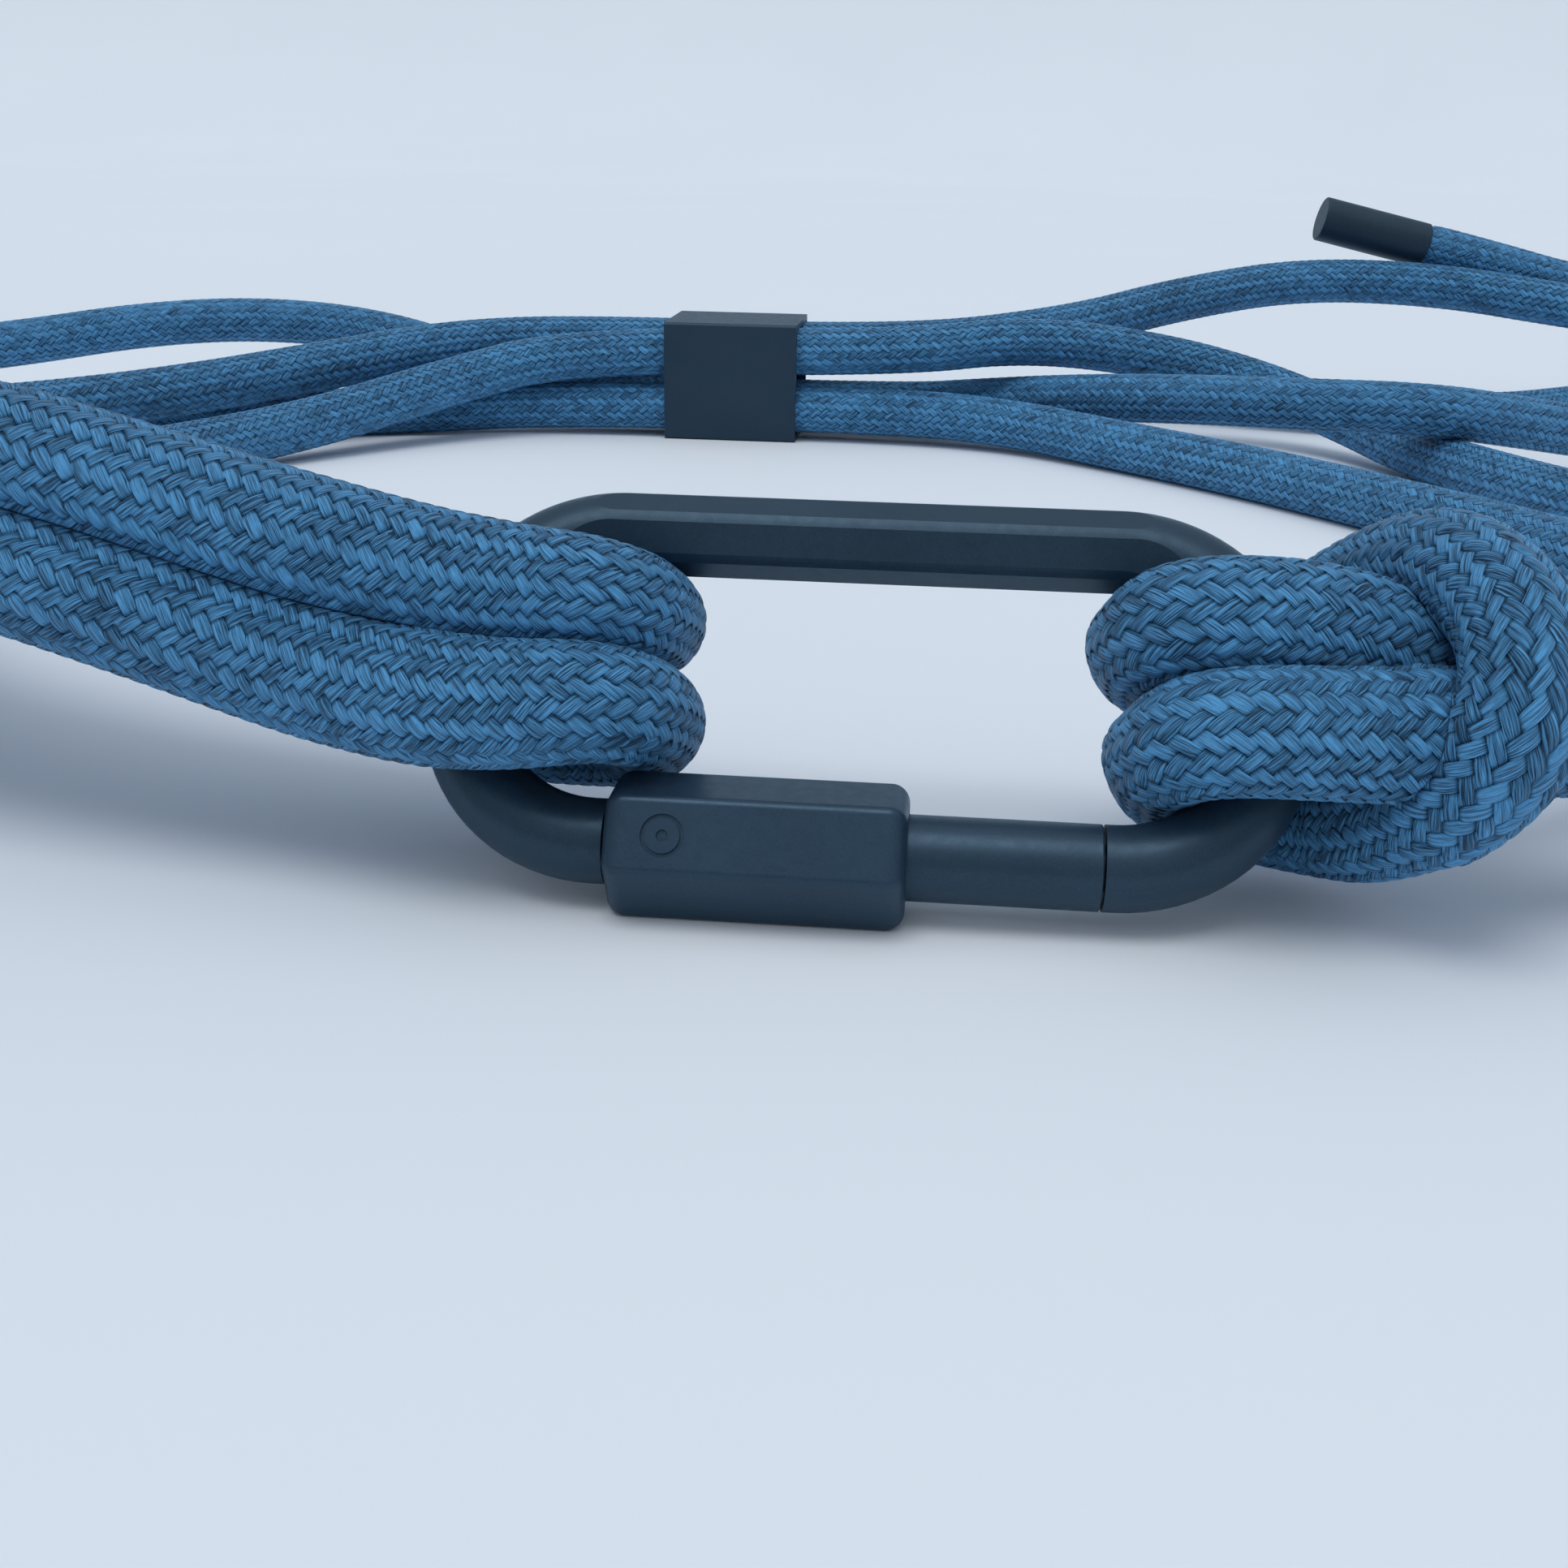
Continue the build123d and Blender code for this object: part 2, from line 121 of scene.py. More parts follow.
def spline_points(points, steps):
    """Points of the smooth line with these control points, read from Blender's own NURBS spline."""
    data = bpy.data.curves.new("cord_route", "CURVE")
    data.dimensions = "3D"
    spline = data.splines.new("NURBS")
    spline.points.add(len(points) - 1)
    for p, co in zip(spline.points, points):
        p.co = (*co, 1)
    spline.order_u = 3
    spline.use_endpoint_u = True
    spline.resolution_u = steps
    carrier = bpy.data.objects.new("cord_route", data)
    bpy.context.collection.objects.link(carrier)
    line = bpy.data.meshes.new_from_object(carrier)
    co = np.zeros(len(line.vertices) * 3)
    line.vertices.foreach_get("co", co)
    bpy.data.objects.remove(carrier)
    bpy.data.meshes.remove(line)
    bpy.data.curves.remove(data)
    return co.reshape(-1, 3)


# ---------------------------------------------------------------- cord mesh
CORD_R = 5.0                # mean radius, mm
COLUMNS = 20                # braid columns round the cord
PITCH_FREE = 2.2            # axial pitch of one yarn where the cord runs free, mm
WAVE, CROWN = 0.34, 0.06    # how far a yarn rises over the next, and how its edges fall away, mm
DIP_MOST = 1.6              # a yarn that has dived this far is hidden, so its curve stops there
FINE, COARSE = 6, 3         # mesh steps per yarn near the link and elsewhere
FINE_MIDDLE, FINE_REACH = np.array((10.0, 5.0, 20.0)), 165   # the ball round the link that is fine, mm
GIRTH_SPARE = 0.12          # added to the radius, since the braid's valleys lie below its mean, mm
TOUCH = 11.6                # middle lines nearer than this may touch, mm
SAME_STRETCH = 15           # and are separate strands if this far apart along the cord, mm
ROD_CLEAR, STRAND_CLEAR, FLOOR_CLEAR = 0.03, 0.02, 0.02   # mm


def braid_height(a, b):
    """Height of a two-over-two braid's surface, mm. a counts columns round it, b pitches along it."""
    i, j = a + b, a - b
    n, m = np.floor(i + 1e-6), np.floor(j + 1e-6)
    u_s, u_z = np.mod(i + m, 4), np.mod(j + n - 2, 4)
    v_s, v_z = j - m, i - n

    def crown(v):
        c = (2 * v - 1) ** 2
        return -CROWN * (0.35 * c + 0.65 * c * c * c)

    def wave(u):
        w = (u - 1) ** 2
        return WAVE * (1 - np.minimum(0.25 * w + 0.75 * w * w, DIP_MOST))

    z_s = wave(u_s) + crown(v_s)
    z_z = wave(u_z) + crown(v_z)
    return np.maximum(z_s, z_z)


line = spline_points([p for name, i, p in ROUTE], 96)
seg = np.linalg.norm(np.diff(line, axis=0), axis=1)
along = np.concatenate([[0], np.cumsum(seg)])
length = along[-1]
# distance along the cord of each route point
u_of_line = np.linspace(0, len(ROUTE) - 2, len(line))
s_of_point = np.interp([0] + [n - 0.5 for n in range(1, len(ROUTE) - 1)] + [len(ROUTE) - 2],
                       u_of_line, along)


def at(name, i):
    """Distance along the cord of point i of a stretch, mm."""
    return s_of_point[POINT_NO[name, i]]


# pitch along the cord: (place, mm). The yarns lie closer where the cord is packed round the link
PACKED = [
    (0.0, PITCH_FREE), (at("left_a", 9), PITCH_FREE), (at("left_a", 12), 1.9),
    (at("lower_turn", 0), 1.6), (at("lower_turn", 2), 1.35), (at("lower_turn", 3), 1.6),
    (at("left_b", 1), 1.95), (at("left_b", 4), PITCH_FREE), (at("right_a", 6), PITCH_FREE),
    (at("hitch", 0), 1.75), (at("hitch", 3), 1.5), (at("hitch", 7), 1.75), (at("hitch", 12), 1.5),
    (at("hitch", 15), 1.6), (at("right_b", 3), PITCH_FREE), (at("left_c", 8), PITCH_FREE),
    (at("left_c", 11), 1.9), (at("upper_turn", 0), 1.6), (at("upper_turn", 2), 1.35),
    (at("upper_turn", 3), 1.6), (at("left_d", 1), 1.95), (at("left_d", 4), PITCH_FREE),
    (length, PITCH_FREE)]
s_grid = np.linspace(0, length, 20001)
pitch = np.interp(s_grid, [p[0] for p in PACKED], [p[1] for p in PACKED])
b_grid = np.concatenate([[0], np.cumsum((1 / pitch[1:] + 1 / pitch[:-1]) / 2 * np.diff(s_grid))])
pitches = round(b_grid[-1])
fine_per_pitch = 2 * FINE
n_fine = pitches * fine_per_pitch + 1
s_fine = np.interp(np.linspace(0, b_grid[-1], n_fine), b_grid, s_grid)
centre = np.stack([np.interp(s_fine, along, line[:, k]) for k in range(3)], 1)

# frames carried along the line without twist
tangent = np.gradient(centre, axis=0)
tangent /= np.linalg.norm(tangent, axis=1)[:, None]
side = np.zeros_like(centre)
first = np.cross(tangent[0], (0, 0, 1.0))
side[0] = first / np.linalg.norm(first)
for r in range(1, n_fine):
    v = side[r - 1] - tangent[r] * (side[r - 1] @ tangent[r])
    side[r] = v / math.sqrt(v @ v)
other = np.cross(tangent, side)

# girth along the cord: (place, factor square to the link's normal, factor along that normal)
GIRTH = [
    (0.0, 0.93, 0.93), (1.2, 0.97, 0.97), (3.0, 1.0, 1.0),
    (at("left_a", 0), 0.97, 0.97), (at("left_a", 7), 0.99, 0.99), (at("left_a", 11), 1.06, 1.06),
    (at("lower_turn", 0), 1.04, 1.0), (at("lower_turn", 2), 1.0, 0.98),
    (at("lower_turn", 3), 1.16, 1.02),
    (at("left_b", 0), 1.19, 1.12), (at("left_b", 1), 1.15, 1.12), (at("left_b", 3), 1.11, 1.11),
    (at("left_b", 5), 1.06, 1.06), (at("left_b", 9), 0.97, 0.97), (at("right_a", 2), 0.97, 0.97),
    (at("right_a", 8), 1.0, 1.0),
    (at("hitch", 0), 1.03, 1.0), (at("hitch", 1), 1.10, 0.92), (at("hitch", 3), 1.02, 0.96),
    (at("hitch", 5), 0.98, 0.97), (at("hitch", 7), 0.98, 0.98), (at("hitch", 9), 0.98, 0.97),
    (at("hitch", 12), 1.02, 0.96), (at("hitch", 14), 1.12, 0.92), (at("hitch", 15), 1.04, 0.98),
    (at("right_b", 1), 1.0, 1.0), (at("right_b", 7), 0.97, 0.97), (at("left_c", 0), 0.96, 0.96),
    (at("left_c", 6), 0.99, 0.99), (at("left_c", 9), 1.06, 1.06),
    (at("upper_turn", 0), 1.04, 1.0), (at("upper_turn", 2), 1.0, 0.98),
    (at("upper_turn", 3), 1.16, 1.02),
    (at("left_d", 0), 1.19, 1.14), (at("left_d", 1), 1.17, 1.15), (at("left_d", 3), 1.14, 1.14),
    (at("left_d", 5), 1.06, 1.06), (at("left_d", 9), 0.97, 0.97), (at("tail_2", 0), 0.97, 0.97),
    (at("tail_2", 17) - 3.0, 1.0, 1.0), (length - 1.2, 0.97, 0.97), (length, 0.93, 0.93)]


def smooth(values, wide):
    """Running mean over an odd number of rings."""
    return np.convolve(np.pad(values, wide // 2, mode="edge"), np.ones(wide) / wide, mode="valid")


girth_places = [g[0] for g in GIRTH]
girth_across, girth_normal = (
    smooth(np.interp(s_fine, girth_places, [g[k] for g in GIRTH]), 25) for k in (1, 2))

# the rod of the link, for the cord to bed on
rod = []
for cx, cw, start in ((BOW_X, -BOW_W, -90), (BOW_X, BOW_W, 0),
                      (-BOW_X, BOW_W, 90), (-BOW_X, -BOW_W, 180)):
    for k in range(49):
        t = math.radians(start + 90 * k / 48)
        rod.append((cx + BOW_R * math.cos(t), cw + BOW_R * math.sin(t), 0))
rod += [(x / 2, w, 0) for w in (-BOW_W - BOW_R, BOW_W + BOW_R) for x in range(-48, 49)]
rod = np.array(off_link(rod))

# where strands pass close to one another
coarse_no = np.arange(0, n_fine, fine_per_pitch)
coarse_at = centre[coarse_no]
gap = np.linalg.norm(coarse_at[:, None] - coarse_at[None], axis=2)
apart = np.abs(s_fine[coarse_no][:, None] - s_fine[coarse_no][None])
close = (gap < TOUCH) & (apart > SAME_STRETCH)
partners = [[] for c in coarse_no]
for c in np.where(close.any(1))[0]:
    found = np.where(close[c])[0]
    for group in np.split(found, np.where(np.diff(found) > 3)[0] + 1):
        partners[c].append(coarse_no[group[np.argmin(gap[c, group])]])
MOST = 5                    # neighbours tried at each ring


def push_apart(co, rings):
    """Moves vertices that cross into another strand, the rod or the table back to the contact face."""
    own = centre[rings][:, None]
    for turn_no in range(3):
        for slot_no in range(MOST):
            has = []
            for r, ring in enumerate(rings):
                near_ones = partners[min(len(partners) - 1, round(ring / fine_per_pitch))]
                if len(near_ones) > slot_no:
                    has.append((r, near_ones[slot_no]))
            if not has:
                break
            for start in range(0, len(has), 400):
                part = has[start:start + 400]
                rows = np.array([r for r, p in part])
                mid = np.array([p for r, p in part])
                window = np.clip(mid[:, None] + np.arange(-60, 61, 4)[None], 0, n_fine - 1)
                spine = centre[window]
                x = co[rows]
                d = np.full(x.shape[:2], 1e9)
                for k in range(spine.shape[1]):
                    d = np.minimum(d, np.linalg.norm(x - spine[:, k][:, None], axis=2))
                v = x - own[rows]
                rho = np.linalg.norm(v, axis=2)
                too_far = np.maximum(0, (rho - d) / 2 + STRAND_CLEAR)
                too_far[rho - d < -0.04] = 0
                co[rows] = x - v / rho[..., None] * too_far[..., None]
        to_rod = np.linalg.norm(centre[rings][:, None] - rod[None, ::6], axis=2)
        near = np.where(np.min(to_rod, axis=1) < 14)[0]
        for start in range(0, len(near), 100):
            rows = near[start:start + 100]
            x = co[rows]
            d = np.full(x.shape[:2], 1e9)
            q = np.zeros_like(x)
            to_rows = np.linalg.norm(rod[:, None] - centre[rings[rows]][None, ::10], axis=2)
            for p in rod[np.min(to_rows, axis=1) < 18]:
                e = np.linalg.norm(x - p, axis=2)
                better = e < d
                d[better] = e[better]
                q[better] = p
            out = x - q
            move = np.maximum(0, ROD_R + ROD_CLEAR - d)
            co[rows] = x + out / np.maximum(d, 1e-6)[..., None] * move[..., None]
    co[..., 2] = np.maximum(co[..., 2], FLOOR_CLEAR)
    return co


def cord_rings(rings, k):
    """Vertices of the braid's surface at these rings, k steps per yarn."""
    q = np.arange(COLUMNS * k)
    rows = rings // (FINE // k)
    a = (q[None] + 0.5 * (rows % 2)[:, None]) / k
    b = rings[:, None] / fine_per_pitch + 0 * a
    phi = a / COLUMNS * 2 * math.pi
    rise = braid_height(a, b)
    ends = np.minimum(s_fine[rings], length - s_fine[rings])[:, None]
    # the last millimetre is bound, inside the cap
    rise = np.where(ends < 1.0, rise * 0.3 - 0.15, rise)
    radius = CORD_R + rise + GIRTH_SPARE
    v = (np.cos(phi)[..., None] * side[rings][:, None] + np.sin(phi)[..., None] * other[rings][:, None])
    v = v * radius[..., None]
    normal = np.array(LINK_N)[None] - tangent[rings] * (tangent[rings] @ np.array(LINK_N))[:, None]
    size = np.linalg.norm(normal, axis=1)
    normal /= np.maximum(size, 1e-6)[:, None]
    share = np.clip(size, 0, 1)[:, None]
    off_n = (v * normal[:, None]).sum(2)
    rest = v - off_n[..., None] * normal[:, None]
    gn, ga = girth_normal[rings][:, None], girth_across[rings][:, None]
    gn = share * gn + (1 - share) * (gn + ga) / 2
    v = rest * ga[..., None] + off_n[..., None] * gn[..., None] * normal[:, None]
    # a section that is squashed on one side swells on the others
    before = np.linalg.norm(v, axis=2)
    moved = push_apart(centre[rings][:, None] + v, rings)
    after = np.linalg.norm(moved - centre[rings][:, None], axis=2)
    lost = 1 - (after ** 2).mean(1) / (before ** 2).mean(1)
    wide = max(3, int(3.0 / (length / (n_fine - 1)) / max(1, FINE // k)) | 1)
    lost = smooth(lost, wide)
    grow = 1 + np.clip(0.55 * lost, 0, 0.09)
    co = centre[rings][:, None] + v * grow[:, None, None]
    return push_apart(co, rings), a, b


def sections():
    """Runs of rings with one mesh density: fine round the link, coarse elsewhere."""
    near = np.linalg.norm(coarse_at - FINE_MIDDLE, axis=1) < FINE_REACH
    marks = [0] + [c for c in range(1, len(near)) if near[c] != near[c - 1]] + [len(near) - 1]
    return [(coarse_no[c0], coarse_no[c1], FINE if near[c0] else COARSE)
            for c0, c1 in zip(marks, marks[1:])]


verts, faces3, faces4, uv_of = [], [], [], []
count = 0
last_ring = None
for first_ring, end_ring, k in sections():
    step = FINE // k
    rings = np.arange(first_ring, end_ring + 1, step)
    if last_ring is not None and k == COARSE:
        rings = rings[1:]
    co, a, b = cord_rings(rings, k)
    nr, nv = a.shape
    ids = count + np.arange(nr * nv).reshape(nr, nv)
    count += nr * nv
    verts.append(co.reshape(-1, 3))
    uv_of.append(np.stack([a.ravel(), b.ravel()], 1))
    odd = (rings // step) % 2 == 1
    q = np.arange(nv)
    for parity in (False, True):
        rows = np.where(odd[:-2] == parity)[0]
        left = q if parity else (q - 1) % nv
        rgt = (q + 1) % nv if parity else q
        faces4.append(np.stack([ids[rows][:, q], ids[rows + 1][:, rgt], ids[rows + 2][:, q],
                                ids[rows + 1][:, left]], 2).reshape(-1, 4))
    # triangles close the zigzag at both ends of the section
    nxt = (q + 1) % nv
    tip = q if not odd[0] else nxt
    faces3.append(np.stack([ids[0][q], ids[0][nxt], ids[1][tip]], 1))
    tip = q if not odd[-1] else nxt
    faces3.append(np.stack([ids[-1][nxt], ids[-1][q], ids[-2][tip]], 1))
    if last_ring is not None:
        # three triangles to each coarse step join a fine ring to a coarse one
        prev_ids, prev_odd = last_ring
        fine_first = k == COARSE
        if fine_first:
            fine_ids, rough_ids, rough_odd = prev_ids, ids[0], odd[0]
        else:
            fine_ids, rough_ids, rough_odd = ids[0], prev_ids, prev_odd
        rough_q = np.arange(len(rough_ids))
        base = 2 * rough_q + (1 if rough_odd else 0)
        f0, f1, f2 = (fine_ids[(base + d) % len(fine_ids)] for d in range(3))
        c0, c1 = rough_ids, rough_ids[(rough_q + 1) % len(rough_ids)]
        for t in ((f0, f1, c0), (f1, c1, c0), (f1, f2, c1)):
            t = np.stack(t, 1)
            faces3.append(t if fine_first else t[:, ::-1])
    last_ring = (ids[-1], bool(odd[-1]))
    if first_ring == 0:
        first_ids = ids[0]
# a fan closes each end
end_ids = last_ring[0]
verts.append(np.array([centre[0], centre[-1]]))
uv_of.append(np.array([[0.0, 0.0], [0.0, float(pitches)]]))
faces3.append(np.stack([np.roll(first_ids, -1), first_ids, np.full(len(first_ids), count)], 1))
faces3.append(np.stack([end_ids, np.roll(end_ids, -1), np.full(len(end_ids), count + 1)], 1))
verts = np.concatenate(verts)
uv_of = np.concatenate(uv_of)
tri, quad = np.concatenate(faces3), np.concatenate(faces4)
cord_mesh = bpy.data.meshes.new("cord")
cord_mesh.vertices.add(len(verts))
cord_mesh.vertices.foreach_set("co", (verts * MM).astype(np.float32).ravel())
corners = np.concatenate([quad.ravel(), tri.ravel()]).astype(np.int32)
cord_mesh.loops.add(len(corners))
cord_mesh.loops.foreach_set("vertex_index", corners)
n_faces = len(quad) + len(tri)
cord_mesh.polygons.add(n_faces)
starts = np.concatenate([np.arange(len(quad)) * 4, len(quad) * 4 + np.arange(len(tri)) * 3])
cord_mesh.polygons.foreach_set("loop_start", starts.astype(np.int32))
cord_mesh.polygons.foreach_set("use_smooth", np.ones(n_faces, bool))
# column 0 is column 20 again, so a face that crosses that seam counts on
uv_quad, uv_tri = uv_of[quad], uv_of[tri]
for block in (uv_quad, uv_tri):
    low = block[..., 0] < COLUMNS / 4
    wraps = (block[..., 0].max(1) - block[..., 0].min(1)) > COLUMNS / 2
    block[..., 0] += np.where(wraps[:, None] & low, COLUMNS, 0)
uv_layer = cord_mesh.uv_layers.new(name="braid")
uv_all = np.concatenate([uv_quad.reshape(-1, 2), uv_tri.reshape(-1, 2)])
uv_layer.data.foreach_set("uv", uv_all.astype(np.float32).ravel())
cord_mesh.update(calc_edges=True)
cord_mesh.validate()
cord = bpy.data.objects.new("braided_cord", cord_mesh)
bpy.context.collection.objects.link(cord)
print("cord", round(length), "mm,", len(verts), "vertices,", n_faces, "faces")


# ---------------------------------------------------------------- node helpers
class Nodes:
    """A short way to write a material's nodes."""

    def __init__(self, name):
        self.material = bpy.data.materials.new(name)
        self.material.use_nodes = True
        self.tree = self.material.node_tree
        self.shader = self.tree.nodes["Principled BSDF"]

    def new(self, kind, **values):
        node = self.tree.nodes.new(kind)
        for key, value in values.items():
            setattr(node, key, value)
        return node

    def put(self, socket, value):
        if isinstance(value, bpy.types.NodeSocket):
            self.tree.links.new(value, socket)
        else:
            socket.default_value = value

    def math(self, operation, a, b=0.0, c=0.0):
        node = self.new("ShaderNodeMath", operation=operation)
        for socket, value in zip(node.inputs, (a, b, c)):
            self.put(socket, value)
        return node.outputs[0]

    def mix(self, factor, a, b, **kind):
        node = self.new("ShaderNodeMix", **(kind or {"data_type": "RGBA"}))
        for key, value in (("Factor", factor), ("A", a), ("B", b)):
            self.put(node.inputs[key], value)
        return node.outputs["Result"]

    def blend(self, factor, a, b):
        return self.mix(factor, a, b, data_type="FLOAT")

    def noise(self, vector, scale, detail=3.0, rough=0.55):
        node = self.new("ShaderNodeTexNoise")
        self.put(node.inputs["Vector"], vector)
        node.inputs["Scale"].default_value = scale
        node.inputs["Detail"].default_value = detail
        node.inputs["Roughness"].default_value = rough
        return node.outputs["Fac"]

    def remap(self, value, low, high, to_low, to_high):
        node = self.new("ShaderNodeMapRange")
        for key, v in (("Value", value), ("From Min", low), ("From Max", high),
                       ("To Min", to_low), ("To Max", to_high)):
            self.put(node.inputs[key], v)
        return node.outputs["Result"]

    def xyz(self, x, y, z):
        node = self.new("ShaderNodeCombineXYZ")
        for socket, value in zip(node.inputs, (x, y, z)):
            self.put(socket, value)
        return node.outputs[0]

    def bump(self, height, strength, distance, normal=None):
        node = self.new("ShaderNodeBump")
        self.put(node.inputs["Height"], height)
        node.inputs["Strength"].default_value = strength
        node.inputs["Distance"].default_value = distance
        if normal is not None:
            self.put(node.inputs["Normal"], normal)
        return node.outputs["Normal"]


def yarn_material():
    """Silky two-over-two braid. The UV map counts columns round the cord and pitches along it."""
    n = Nodes("silky_braid")
    uv = n.new("ShaderNodeUVMap", uv_map="braid")
    split = n.new("ShaderNodeSeparateXYZ")
    n.tree.links.new(uv.outputs[0], split.inputs[0])
    a, b = split.outputs[0], split.outputs[1]
    i, j = n.math("ADD", a, b), n.math("SUBTRACT", a, b)
    fi, fj = n.math("FLOOR", i), n.math("FLOOR", j)
    v_z, v_s = n.math("SUBTRACT", i, fi), n.math("SUBTRACT", j, fj)
    u_s = n.math("FLOORED_MODULO", n.math("ADD", i, fj), 4.0)
    u_z = n.math("FLOORED_MODULO", n.math("SUBTRACT", n.math("ADD", j, fi), 2.0), 4.0)

    def height(u, v):
        """The same curve as braid_height's wave and crown."""
        w = n.math("POWER", n.math("ABSOLUTE", n.math("SUBTRACT", u, 1.0)), 2.0)
        dip = n.math("ADD", n.math("MULTIPLY", w, 0.25),
                     n.math("MULTIPLY", n.math("MULTIPLY", w, w), 0.75))
        wave = n.math("MULTIPLY_ADD", n.math("MINIMUM", dip, DIP_MOST), -WAVE, WAVE)
        c = n.math("POWER", n.math("ABSOLUTE", n.math("MULTIPLY_ADD", v, 2.0, -1.0)), 2.0)
        fall = n.math("ADD", n.math("MULTIPLY", c, 0.35),
                      n.math("MULTIPLY", n.math("POWER", c, 3.0), 0.65))
        return n.math("SUBTRACT", wave, n.math("MULTIPLY", fall, CROWN))

    h_s, h_z = height(u_s, v_s), height(u_z, v_z)
    is_s = n.math("GREATER_THAN", h_s, h_z)
    top = n.math("MAXIMUM", h_s, h_z)
    v = n.blend(is_s, v_z, v_s)
    u = n.blend(is_s, u_z, u_s)
    yarn = n.blend(is_s, n.math("ADD", fi, 0.5), n.math("ADD", fj, 517.3))
    float_no = n.blend(is_s, n.math("FLOOR", n.math("MULTIPLY", n.math("ADD", j, fi), 0.25)),
                       n.math("FLOOR", n.math("MULTIPLY", n.math("ADD", i, fj), 0.25)))
    # filaments lie along the yarn and draw together a little where it dives under the next
    bend = n.math("COSINE", n.math("MULTIPLY", n.math("SUBTRACT", u, 1.0), math.pi / 2))
    spread = n.math("MULTIPLY", n.math("SUBTRACT", v, 0.5), n.math("MULTIPLY_ADD", bend, -0.22, 1.15))
    fibres = n.noise(n.xyz(n.math("MULTIPLY", spread, 13.0), n.math("MULTIPLY", u, 0.36),
                           n.math("MULTIPLY", yarn, 3.7)), 1.0, 4.0, 0.62)
    clumps = n.noise(n.xyz(n.math("MULTIPLY", v, 2.2), n.math("MULTIPLY", u, 0.3),
                           n.math("MULTIPLY", yarn, 1.9)), 1.0, 1.0, 0.5)
    white = n.new("ShaderNodeTexWhiteNoise", noise_dimensions="2D")
    n.put(white.inputs["Vector"], n.xyz(yarn, float_no, 0.0))
    each = white.outputs["Value"]
    geometry = n.new("ShaderNodeNewGeometry")
    patches = n.noise(geometry.outputs["Position"], 55.0, 2.0)
    # painted sheen: the S yarns (is_s) are made a little lighter than the Z yarns, standing in for the
    # sheen their lie catches; fibres, clumps, each and patches are random tone
    shade = n.math("MULTIPLY", fibres, 0.86)
    for part, share in ((clumps, 0.12), (each, 0.05), (patches, 0.10), (is_s, 0.035)):
        shade = n.math("ADD", shade, n.math("MULTIPLY", part, share))
    tone = n.remap(shade, 0.47, 0.68, 0.0, 1.0)
    colour = n.mix(tone, (0.0015, 0.021, 0.062, 1), (0.130, 0.460, 0.870, 1))
    # painted shade: where the braid's surface lies low, in the gaps between yarns, the colour is mixed
    # towards near black, standing in for the shade that falls there
    painted_gap_shade = n.remap(top, -0.03, 0.21, 0.0, 1.0)
    colour = n.mix(painted_gap_shade, (0.001, 0.008, 0.022, 1), colour)
    n.put(n.shader.inputs["Base Color"], colour)
    n.put(n.shader.inputs["Roughness"], n.remap(fibres, 0.3, 0.7, 0.36, 0.52))
    tangent_node = n.new("ShaderNodeTangent", direction_type="UV_MAP", uv_map="braid")
    n.put(n.shader.inputs["Tangent"], tangent_node.outputs[0])
    n.shader.inputs["Anisotropic"].default_value = 0.85
    n.put(n.shader.inputs["Anisotropic Rotation"], n.blend(is_s, 0.864, 0.136))
    # painted shade: the low gaps between yarns also shine less, standing in for the shade that falls in
    # them
    n.put(n.shader.inputs["Specular IOR Level"], n.math("MULTIPLY_ADD", painted_gap_shade, 0.62, 0.03))
    n.shader.inputs["Specular Tint"].default_value = (0.50, 0.78, 1.0, 1)
    n.shader.inputs["Sheen Weight"].default_value = 0.08
    n.shader.inputs["Sheen Roughness"].default_value = 0.45
    n.shader.inputs["Sheen Tint"].default_value = (0.45, 0.72, 1.0, 1)
    relief = n.bump(top, 0.30, 0.001)
    n.put(n.shader.inputs["Normal"], n.bump(fibres, 1.0, 0.00034, relief))
    return n.material


def coated_metal(name, base, light, rough):
    """Satin slate coating: a fine even grain over a faint cloudy tone."""
    n = Nodes(name)
    coord = n.new("ShaderNodeTexCoord").outputs["Object"]
    grain = n.noise(coord, 5200.0, 2.0, 0.6)
    cloud = n.noise(coord, 60.0, 3.0, 0.5)
    spots = n.noise(coord, 900.0, 2.0, 0.5)
    cloudy = n.math("ADD", n.math("MULTIPLY", cloud, 0.7), n.math("MULTIPLY", spots, 0.3))
    colour = n.mix(n.remap(cloudy, 0.35, 0.65, 0.0, 1.0), (*base, 1), (*light, 1))
    fleck = n.remap(grain, 0.30, 0.70, 0.88, 1.12)
    colour = n.mix(1.0, colour, n.xyz(fleck, fleck, fleck), data_type="RGBA", blend_type="MULTIPLY")
    n.put(n.shader.inputs["Base Color"], colour)
    n.shader.inputs["Metallic"].default_value = 0.35
    n.shader.inputs["Specular Tint"].default_value = (0.60, 0.84, 1.0, 1)
    n.put(n.shader.inputs["Roughness"], n.remap(spots, 0.3, 0.7, rough - 0.04, rough + 0.05))
    n.put(n.shader.inputs["Normal"], n.bump(grain, 0.25, 0.00003))
    return n.material


def plain_metal(name, colour, rough):
    """Turned bare metal inside the mechanism."""
    n = Nodes(name)
    coord = n.new("ShaderNodeTexCoord").outputs["Object"]
    split = n.new("ShaderNodeSeparateXYZ")
    n.put(split.inputs[0], coord)
    turned = n.noise(n.xyz(split.outputs[0], 0.0, 0.0), 9000.0, 2.0)
    n.put(n.shader.inputs["Base Color"], n.mix(turned, (*[c * 0.8 for c in colour], 1), (*colour, 1)))
    n.shader.inputs["Metallic"].default_value = 1.0
    n.put(n.shader.inputs["Roughness"], n.remap(turned, 0.3, 0.7, rough - 0.06, rough + 0.06))
    n.put(n.shader.inputs["Normal"], n.bump(turned, 0.3, 0.00004))
    return n.material


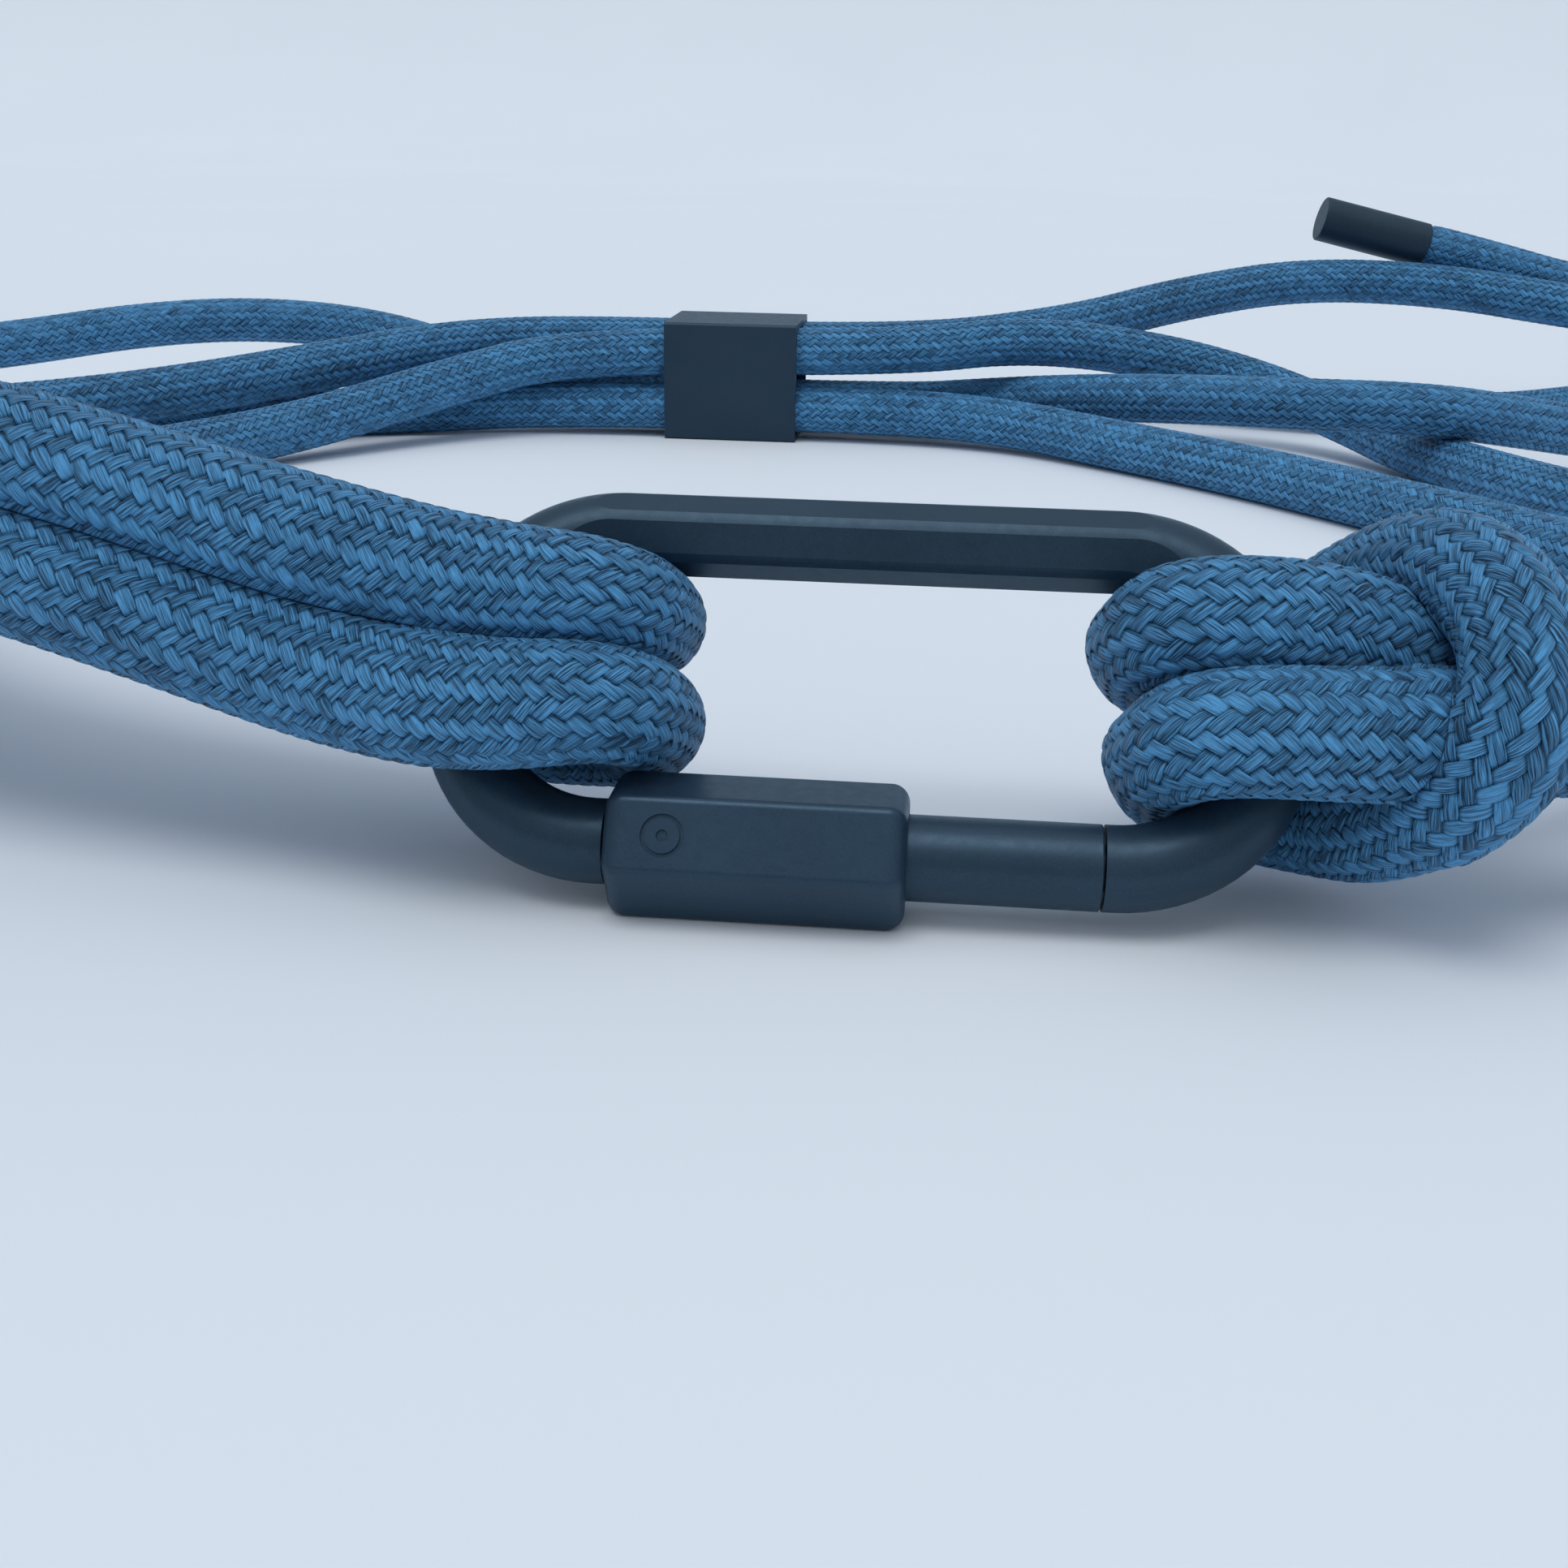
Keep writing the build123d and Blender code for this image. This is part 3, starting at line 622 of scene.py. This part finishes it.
braid = yarn_material()
cord_mesh.materials.append(braid)
link_paint = coated_metal("slate_coating_link", (0.021, 0.043, 0.070), (0.026, 0.052, 0.083), 0.38)
grip_paint = coated_metal("slate_coating_grip", (0.023, 0.047, 0.079), (0.028, 0.056, 0.092), 0.36)
band_paint = coated_metal("slate_coating_band", (0.019, 0.040, 0.066), (0.025, 0.048, 0.078), 0.46)
cap_paint = coated_metal("slate_coating_cap", (0.019, 0.035, 0.056), (0.025, 0.044, 0.068), 0.46)
steel = plain_metal("turned_steel", (0.45, 0.46, 0.48), 0.32)
brass = plain_metal("turned_brass", (0.62, 0.46, 0.20), 0.30)
for node, material in (("link_frame", link_paint), ("gate_rod", link_paint), ("screw_grip", grip_paint),
                       ("slider_band", band_paint), ("ferrule_1", cap_paint), ("ferrule_2", cap_paint),
                       ("seat_insert", brass), ("thrust_washer", steel), ("retaining_ring", steel),
                       ("guide_pin", steel)):
    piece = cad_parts[node]
    if len(piece.material_slots) == 0:
        piece.data.materials.append(material)
    for slot in piece.material_slots:
        slot.material = material

# ---------------------------------------------------------------- the cord in the frame
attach(cord, "link")
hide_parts(*[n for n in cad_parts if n.startswith("cord_")])


# ---------------------------------------------------------------- stage and light
TABLE_DEPTH, BEND_R = 2.2, 1.2            # the table's back edge and the bend up from it, m
HALF_WIDE, FRONT, TOP = 7, -6.0, 5.0      # m
SUNK = 0.00004                            # the table lies this much below the pieces, m


def stage_material():
    """A pale, nearly plain matt surface."""
    n = Nodes("pale_table")
    geometry = n.new("ShaderNodeNewGeometry").outputs["Position"]
    cloud = n.noise(geometry, 3.0, 2.0)
    n.put(n.shader.inputs["Base Color"], n.mix(cloud, (0.80, 0.855, 0.915, 1), (0.84, 0.895, 0.95, 1)))
    n.shader.inputs["Roughness"].default_value = 0.62
    n.shader.inputs["Specular IOR Level"].default_value = 0.25
    return n.material


profile = [(FRONT, 0.0), (TABLE_DEPTH, 0.0)]
for k in range(1, 13):
    t = math.radians(90 * k / 12)
    profile.append((TABLE_DEPTH + BEND_R * math.sin(t), BEND_R - BEND_R * math.cos(t)))
profile.append((TABLE_DEPTH + BEND_R, TOP))
sweep = bpy.data.meshes.new("sweep")
sweep.from_pydata([(x, y, z - SUNK) for y, z in profile for x in (-HALF_WIDE, HALF_WIDE)], [],
                  [(2 * k, 2 * k + 1, 2 * k + 3, 2 * k + 2) for k in range(len(profile) - 1)])
for polygon in sweep.polygons:
    polygon.use_smooth = True
sweep.materials.append(stage_material())
sweep = bpy.data.objects.new("sweep", sweep)
bpy.context.collection.objects.link(sweep)

sun = bpy.data.lights.new("soft_overhead", "SUN")
sun.angle = math.radians(32)
sun.energy = 0.80
sun.color = (1.0, 0.99, 0.96)
sun = bpy.data.objects.new("soft_overhead", sun)
bpy.context.collection.objects.link(sun)
sun.rotation_euler = Vector((0.10, 0.28, -1.0)).to_track_quat("-Z", "Y").to_euler()
world = bpy.data.worlds.new("soft_room")
world.use_nodes = True
sky, join = world.node_tree.nodes, world.node_tree.links.new
sky["Background"].inputs["Color"].default_value = (0.81, 0.87, 0.955, 1)
# a soft light overhead: the sky is brightest straight up
way = sky.new("ShaderNodeSeparateXYZ")
join(sky.new("ShaderNodeTexCoord").outputs["Generated"], way.inputs[0])
strength = sky.new("ShaderNodeMapRange")
join(way.outputs["Z"], strength.inputs["Value"])
for key, value in (("From Min", 0.0), ("From Max", 1.0), ("To Min", 0.26), ("To Max", 0.92)):
    strength.inputs[key].default_value = value
join(strength.outputs["Result"], sky["Background"].inputs["Strength"])
bpy.context.scene.world = world
bpy.context.scene.view_settings.view_transform = "Standard"
